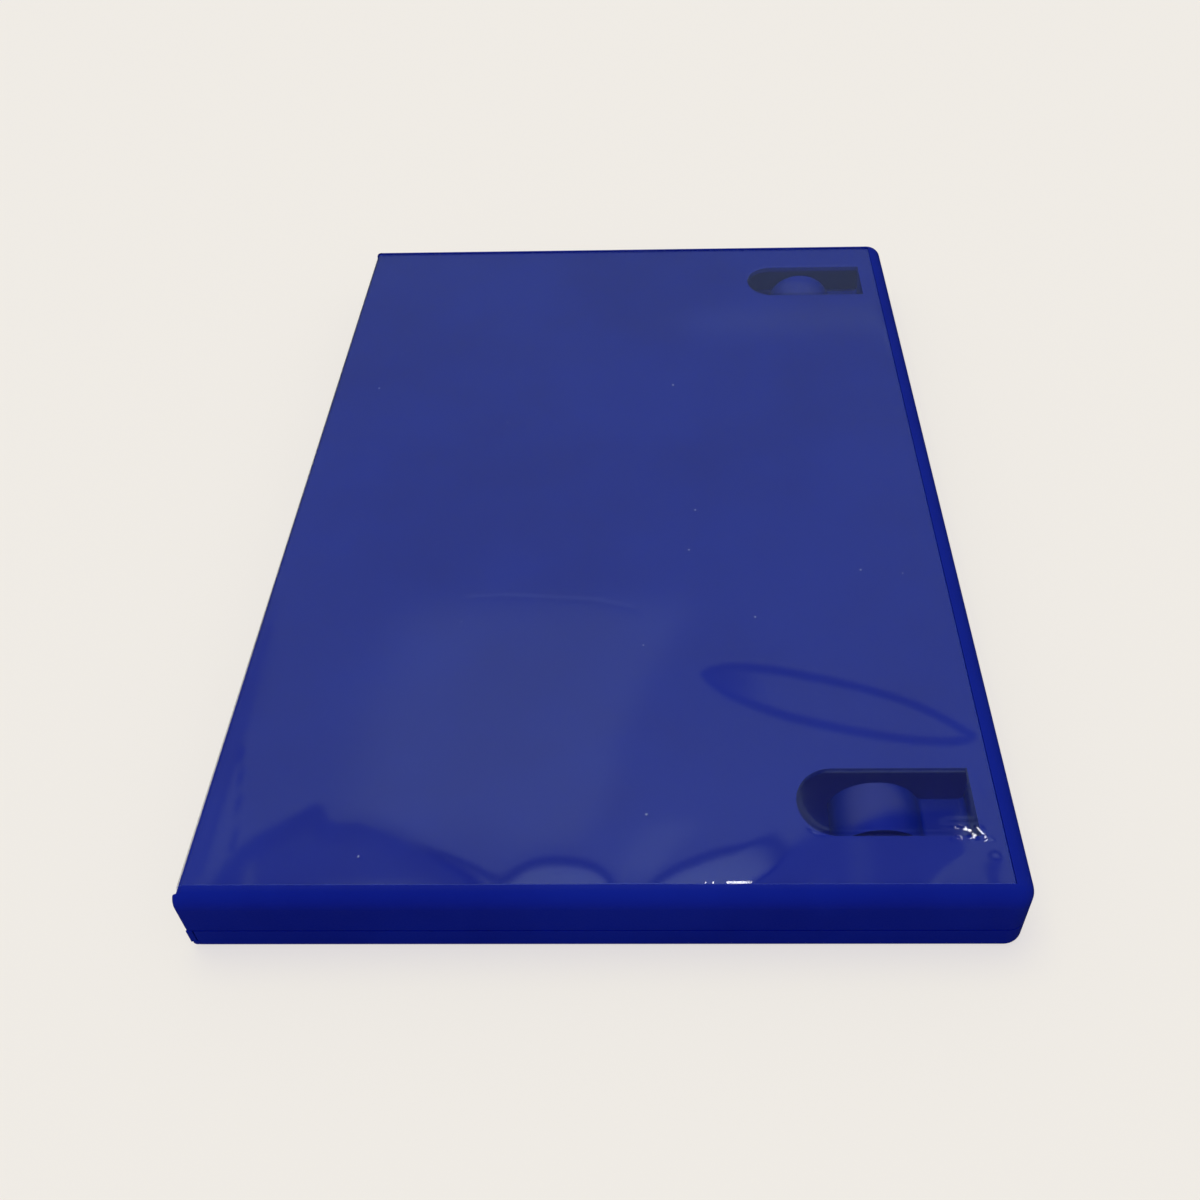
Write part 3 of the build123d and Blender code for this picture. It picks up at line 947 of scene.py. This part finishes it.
back_columns = [(front_high.x, cut_bead), (front_high.x - cut_bead, back_step)]
back_rows = places_between(
    (back_low.y, cut_bead),
    (back_low.y + cut_bead, back_step),
    (back_high.y - cut_bead, cut_bead),
    (back_high.y, 0),
)
back_line = film_line(back_high.z, -1, back_columns)
back_sheet = film_sheet("sleeve_back", back_line, back_rows, back_height, back_mirrors, -1)
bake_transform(back_sheet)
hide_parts("back_film")

# %% [markdown]
# ## Dust
# A few pale specks of dust lie on the film. Each is a thin flake with an uneven outline, small enough that
# a painted dot would look the same from afar, but a flake also catches the light when the cover is opened.

# %% Dust finish
dust_finish, tree, output = new_finish("dust")
dust_grain = put(tree, "ShaderNodeTexNoise", Scale=5000.0, Detail=1.0)
dust_shade = mixed_color(tree, dust_grain.outputs["Fac"], (0.10, 0.13, 0.33, 1), (0.25, 0.30, 0.50, 1))
dust_skin = put(tree, "ShaderNodeBsdfDiffuse", Color=dust_shade)
feed(tree, output.inputs["Surface"], dust_skin.outputs[0])
print("dust finish:", dust_finish.name)

# %% Places of the specks
specks = [  # place on the film and radius
    (12.0, 34.0, 0.30),
    (16.3, -8.0, 0.26),
    (14.8, -19.5, 0.22),
    (48.3, -25.3, 0.24),
    (56.3, -26.3, 0.18),
    (-56.5, 34.0, 0.24),
    (-25.3, 21.0, 0.18),
    (27.0, -37.3, 0.20),
    (6.0, -44.0, 0.20),
    (6.9, -79.8, 0.22),
    (-39.0, -87.2, 0.22),
    (-28.5, -38.0, 0.16),
]
print("specks:", len(specks))

# %% Dust flakes
flake_sides, flake_wall = 7, 0.03
least_reach, most_reach = 0.6, 1.2  # of the radius
uneven = np.random.default_rng(7)


def flake_points(x, y, radius):
    """The corners of a flake on the film: those of its lower face, then those of its upper face."""
    floor_z = front_low.z + film_air + float(front_height(np.array([x]), np.array([y]))[0]) + film_wall
    reach = radius * uneven.uniform(least_reach, most_reach, flake_sides)
    turns = 2 * math.pi * (np.arange(flake_sides) + uneven.uniform(0, 1)) / flake_sides
    outline = np.stack([x + reach * np.cos(turns), y + reach * np.sin(turns)], axis=-1)
    return [(*corner * mm, z * mm) for z in (floor_z, floor_z + flake_wall) for corner in outline]


def flake_faces(first):
    """The faces of a flake whose corners are numbered from the first."""
    lower = list(range(first, first + flake_sides))
    upper = [number + flake_sides for number in lower]
    walls = zip(lower, lower[1:] + lower[:1], upper[1:] + upper[:1], upper)
    return [lower[::-1], upper, *map(list, walls)]


dust_points, dust_faces = [], []
for speck in specks:
    dust_faces += flake_faces(len(dust_points))
    dust_points += flake_points(*speck)
dust_mesh = bpy.data.meshes.new("dust")
dust_mesh.from_pydata(dust_points, [], dust_faces)
dust_mesh.materials.append(dust_finish)
dust = bpy.data.objects.new("dust", dust_mesh)
bpy.context.scene.collection.objects.link(dust)
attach(dust, "cover")
print("dust:", len(dust_points), "points,", len(dust_faces), "faces")
